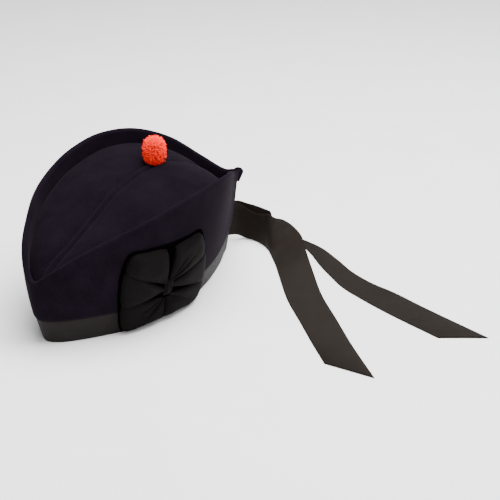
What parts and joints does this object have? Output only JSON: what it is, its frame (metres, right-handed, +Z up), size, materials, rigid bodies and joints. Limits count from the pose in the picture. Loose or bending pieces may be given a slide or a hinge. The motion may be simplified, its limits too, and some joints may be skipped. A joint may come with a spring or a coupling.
{
  "type": "glengarry cap",
  "caption": "Boat-shaped wool cap with a ribbon headband, a woollen ball on the crown, a ribbon rosette on one side and two ribbon tails behind it.",
  "frame": {"origin": "middle of the whole outline, cap and tails together, on the surface that the cap stands on", "axes": "+Z up, -Y towards the front of the cap, +X towards the wearer's left, on which the rosette sits"},
  "size_m": [0.4156, 0.3496, 0.1572],
  "materials": {
    "navy_wool": "dense milled wool cloth in a very dark navy, matt with a short nap",
    "headband_ribbon": "black brown ribbed ribbon binding, slightly satin",
    "rosette_ribbon": "black ribbed silk ribbon, softly folded",
    "tail_ribbon": "dark grey brown ribbed ribbon with plain selvedges and slanting cut ends",
    "red_wool": "clipped scarlet wool yarn"
  },
  "bodies": {
    "root": {"headband": "headband_ribbon", "side_wall_left": "navy_wool", "side_wall_right": "navy_wool", "crown_left": "navy_wool", "crown_right": "navy_wool", "toorie": "red_wool", "tail_left": "tail_ribbon", "tail_right": "tail_ribbon", "rosette_backing": "rosette_ribbon", "rosette_loop_front": "rosette_ribbon", "rosette_loop_back": "rosette_ribbon", "rosette_knot": "rosette_ribbon", "rosette_pleats": "rosette_ribbon"}
  },
  "joints": []
}
